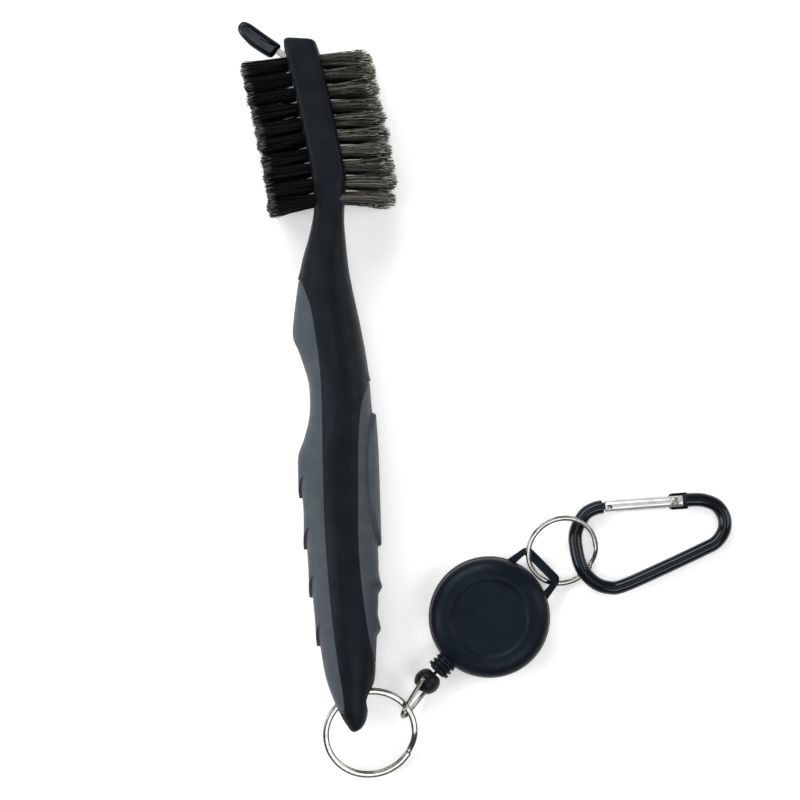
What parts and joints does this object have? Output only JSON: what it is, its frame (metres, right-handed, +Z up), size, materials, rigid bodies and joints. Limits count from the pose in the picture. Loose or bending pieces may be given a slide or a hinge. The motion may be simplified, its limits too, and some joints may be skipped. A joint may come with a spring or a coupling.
{
  "type": "club groove brush",
  "caption": "Pocket golf club brush: stiff nylon and wire bristles on one handle with a fold-out groove pick, on a retractable cord reel with a belt carabiner.",
  "frame": {"origin": "centre of the bounding box in plan, on the table that the set lies on", "axes": "+Y along the brush from the handle tip to the head, +Z up from the table, +X from the nylon bristles towards the wire bristles and the reel"},
  "size_m": [0.1218, 0.2032, 0.021],
  "materials": {
    "core_plastic": "satin black moulded polypropylene",
    "grip_rubber": "matt grey overmoulded thermoplastic rubber",
    "nylon": "black nylon filament",
    "wire": "dull steel bristle wire",
    "nickel": "bright nickel plated steel wire",
    "steel": "plain steel",
    "case_plastic": "semi-gloss blue-black ABS",
    "soft_black": "soft black plastic",
    "cord": "black braided cord",
    "black_anodised": "glossy black anodised",
    "gate_silver": "satin silver",
    "spool_plastic": "natural white acetal"
  },
  "bodies": {
    "brush": {"handle_core": "core_plastic", "finger_grip": "grip_rubber", "thumb_grip": "grip_rubber", "nylon_row_01_low": "nylon", "nylon_row_01_high": "nylon", "nylon_row_02_low": "nylon", "nylon_row_02_high": "nylon", "nylon_row_03_low": "nylon", "nylon_row_03_high": "nylon", "nylon_row_04_low": "nylon", "nylon_row_04_high": "nylon", "nylon_row_05": "nylon", "nylon_row_06": "nylon", "nylon_row_07": "nylon", "nylon_row_08": "nylon", "nylon_row_09": "nylon", "nylon_row_10": "nylon", "wire_row_01": "wire", "wire_row_02": "wire", "wire_row_03": "wire", "wire_row_04": "wire", "wire_row_05": "wire", "wire_row_06": "wire", "wire_row_07": "wire", "wire_row_08": "wire", "wire_row_09": "wire", "wire_row_10": "wire", "pick_pin": "steel"},
    "pick": {"groove_pick": "black_anodised", "pick_tang": "steel"},
    "handle_ring": {"handle_split_ring": "nickel"},
    "bail": {"cord_bail": "nickel"},
    "ball": {"swivel_ball": "soft_black"},
    "stopper": {"cord_stopper": "soft_black", "cord_lead": "cord", "cord_end_knot": "cord"},
    "reel": {"reel_back_case": "case_plastic", "reel_front_cover": "case_plastic", "reel_axle": "steel", "reel_spring": "steel", "cord_feed": "cord"},
    "spool": {"reel_spool": "spool_plastic", "cord_winding": "cord"},
    "case_ring": {"case_split_ring": "nickel"},
    "carabiner": {"carabiner_body": "black_anodised", "gate_rivet": "steel"},
    "gate": {"carabiner_gate": "gate_silver", "gate_latch_pin": "steel", "gate_spring": "steel"}
  },
  "joints": [
    {"name": "pick_fold", "type": "hinge", "parent": "brush", "child": "pick", "pos_m": [-0.04771, 0.09191, 0.0105], "axis": [0, 0, 1], "range_deg": [0, 128]},
    {"name": "ring_flap", "type": "hinge", "parent": "brush", "child": "handle_ring", "pos_m": [-0.04318, -0.07871, 0.00913], "axis": [-0.9397, -0.342, 0], "range_deg": [-20, 20]},
    {"name": "bail_round_ring", "type": "hinge", "parent": "handle_ring", "child": "bail", "pos_m": [-0.03931, -0.08934, 0.00545], "axis": [0.1057, -0.2904, 0.9511], "range_deg": [-150, 10]},
    {"name": "bail_pivot", "type": "hinge", "parent": "bail", "child": "ball", "pos_m": [-0.0232, -0.07679, 0.00475], "axis": [-0.1926, 0.3251, 0.9259], "range_deg": [-30, 30]},
    {"name": "ball_swivel", "type": "hinge", "parent": "ball", "child": "stopper", "pos_m": [-0.0232, -0.07679, 0.00475], "axis": [0.7478, 0.6639, 0], "continuous": true},
    {"name": "cord_pull", "type": "slide", "parent": "stopper", "child": "reel", "axis": [0.7478, 0.6639, 0], "range_m": [0, 0.6], "stiffness_N_per_m": 1.5, "springref_m": -0.6},
    {"name": "spool_spin", "type": "hinge", "parent": "reel", "child": "spool", "pos_m": [-0.00541, -0.06099, 0], "axis": [0, 0, -1], "range_deg": [0, 3300], "deforming": ["reel_spring"]},
    {"name": "case_ring_turn", "type": "hinge", "parent": "reel", "child": "case_ring", "pos_m": [0.01519, -0.04469, 0.00435], "axis": [0.195, -0.3311, 0.9232], "range_deg": [-15, 25]},
    {"name": "clip_swing", "type": "hinge", "parent": "case_ring", "child": "carabiner", "pos_m": [0.01519, -0.04469, 0.00435], "axis": [0.195, -0.3311, 0.9232], "range_deg": [-25, 40]},
    {"name": "gate_open", "type": "hinge", "parent": "carabiner", "child": "gate", "pos_m": [0.04619, -0.03379, 0.00225], "axis": [0.022, 0.039, 0.999], "range_deg": [0, 24], "stiffness_Nm_per_rad": 0.06, "springref_deg": -20.05, "deforming": ["gate_spring"]}
  ],
  "couplings": [
    {"joint": "spool_spin", "follows": "cord_pull", "rad_per_m": 93.5}
  ]
}
